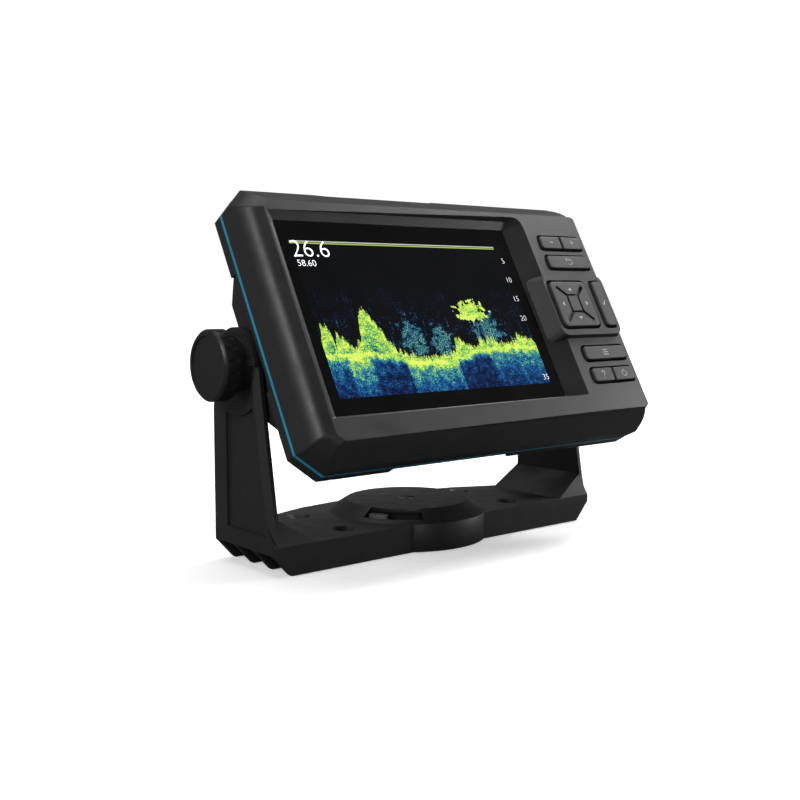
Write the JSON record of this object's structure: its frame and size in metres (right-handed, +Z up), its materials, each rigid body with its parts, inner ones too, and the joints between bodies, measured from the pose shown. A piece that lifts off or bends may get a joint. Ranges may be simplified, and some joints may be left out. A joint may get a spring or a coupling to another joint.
{
  "type": "chartplotter display",
  "caption": "Marine chartplotter display with a side keypad, in a bail with clamp knobs that tilts and swivels on a round base.",
  "frame": {"origin": "centre of the swivel base's screw circle, on the face that rests on the dash", "axes": "+X to the display's right as its user sees it, +Y away from the user, +Z up along the swivel axis"},
  "size_m": [0.1968, 0.0987, 0.1433],
  "materials": {
    "black_plastic": "fine moulded grain",
    "bail_plastic": "fine moulded grain",
    "knob_plastic": "satin",
    "blue_trim": "satin",
    "rubber_seal": "matt",
    "screen_glass": "polished",
    "screen_picture": "lit picture under the glass",
    "key_plastic": "satin",
    "latch_plastic": "satin",
    "light_guide": "frosted",
    "sheet_metal": "brushed",
    "aluminium": "satin",
    "circuit_board": "solder mask",
    "ceramic": "matt",
    "steel": "plated",
    "brass": "turned",
    "socket_plastic": "satin"
  },
  "bodies": {
    "mount_base": {"swivel_base": "bail_plastic", "swivel_screw": "steel", "swivel_washer": "steel"},
    "bail": {"bail_bracket": "bail_plastic", "arm_washers": "rubber_seal"},
    "latch": {"swivel_latch": "latch_plastic"},
    "display": {"front_bezel": "black_plastic", "trim_stripe": "blue_trim", "case_gasket": "rubber_seal", "cover_glass": "screen_glass", "glass_adhesive": "rubber_seal", "lcd_panel": "screen_picture", "lcd_frame": "sheet_metal", "backlight_plate": "light_guide", "heat_spreader": "aluminium", "main_board": "circuit_board", "board_screws": "steel", "shield_can": "sheet_metal", "gps_antenna": "ceramic", "beeper": "socket_plastic", "keypad_board": "circuit_board", "keypad_mat": "rubber_seal", "rear_housing": "black_plastic", "pivot_inserts": "brass", "power_socket": "socket_plastic", "transducer_socket": "socket_plastic", "vent_plug": "rubber_seal", "case_screws": "steel"},
    "dpad_gimbal": {"dpad_web": "rubber_seal"},
    "dpad": {"dpad": "key_plastic"},
    "key_minus": {"key_minus": "key_plastic"},
    "key_plus": {"key_plus": "key_plastic"},
    "key_back": {"key_back": "key_plastic"},
    "key_mark": {"key_mark": "key_plastic"},
    "key_menu": {"key_menu": "key_plastic"},
    "key_info": {"key_info": "key_plastic"},
    "key_power": {"key_power": "key_plastic"},
    "knob_carrier_left": {"thrust_washer_left": "steel"},
    "knob_left": {"knob_left": "knob_plastic", "stud_left": "steel"},
    "knob_carrier_right": {"thrust_washer_right": "steel"},
    "knob_right": {"knob_right": "knob_plastic", "stud_right": "steel"}
  },
  "joints": [
    {"name": "swivel", "type": "hinge", "parent": "mount_base", "child": "bail", "pos_m": [0, 0, 0], "axis": [0, 0, 1], "range_deg": [-60, 60]},
    {"name": "latch_press", "type": "slide", "parent": "bail", "child": "latch", "axis": [0.8988, 0.4384, 0], "range_m": [0, 0.0012], "stiffness_N_per_m": 900},
    {"name": "tilt", "type": "hinge", "parent": "bail", "child": "display", "pos_m": [0, -0.002, 0.078], "axis": [-1, 0, 0], "range_deg": [-25, 60]},
    {"name": "knob_left_travel", "type": "slide", "parent": "display", "child": "knob_carrier_left", "axis": [-1, 0, 0], "range_m": [0, 0.0025]},
    {"name": "knob_left_turn", "type": "hinge", "parent": "knob_carrier_left", "child": "knob_left", "pos_m": [-0.0876, -0.002, 0.078], "axis": [-1, 0, 0], "range_deg": [0, 720]},
    {"name": "knob_right_travel", "type": "slide", "parent": "display", "child": "knob_carrier_right", "axis": [1, 0, 0], "range_m": [0, 0.0025]},
    {"name": "knob_right_turn", "type": "hinge", "parent": "knob_carrier_right", "child": "knob_right", "pos_m": [0.0876, -0.002, 0.078], "axis": [1, 0, 0], "range_deg": [0, 720]},
    {"name": "key_minus_press", "type": "slide", "parent": "display", "child": "key_minus", "axis": [0, 0.8746, -0.4848], "range_m": [0, 0.0008], "stiffness_N_per_m": 1500},
    {"name": "key_plus_press", "type": "slide", "parent": "display", "child": "key_plus", "axis": [0, 0.8746, -0.4848], "range_m": [0, 0.0008], "stiffness_N_per_m": 1500},
    {"name": "key_back_press", "type": "slide", "parent": "display", "child": "key_back", "axis": [0, 0.8746, -0.4848], "range_m": [0, 0.0008], "stiffness_N_per_m": 1500},
    {"name": "key_mark_press", "type": "slide", "parent": "display", "child": "key_mark", "axis": [0, 0.8746, -0.4848], "range_m": [0, 0.0008], "stiffness_N_per_m": 1500},
    {"name": "key_menu_press", "type": "slide", "parent": "display", "child": "key_menu", "axis": [0, 0.8746, -0.4848], "range_m": [0, 0.0008], "stiffness_N_per_m": 1500},
    {"name": "key_info_press", "type": "slide", "parent": "display", "child": "key_info", "axis": [0, 0.8746, -0.4848], "range_m": [0, 0.0008], "stiffness_N_per_m": 1500},
    {"name": "key_power_press", "type": "slide", "parent": "display", "child": "key_power", "axis": [0, 0.8746, -0.4848], "range_m": [0, 0.0008], "stiffness_N_per_m": 1500},
    {"name": "dpad_up_down", "type": "hinge", "parent": "display", "child": "dpad_gimbal", "pos_m": [0.0586, -0.03742, 0.09696], "axis": [1, 0, 0], "range_deg": [-2.5, 2.5], "stiffness_Nm_per_rad": 0.4},
    {"name": "dpad_left_right", "type": "hinge", "parent": "dpad_gimbal", "child": "dpad", "pos_m": [0.0586, -0.03742, 0.09696], "axis": [0, 0.4848, 0.8746], "range_deg": [-2.5, 2.5], "stiffness_Nm_per_rad": 0.4}
  ],
  "couplings": [
    {"joint": "knob_left_turn", "follows": "knob_left_travel", "rad_per_m": 5026.5},
    {"joint": "knob_right_turn", "follows": "knob_right_travel", "rad_per_m": 5026.5}
  ]
}
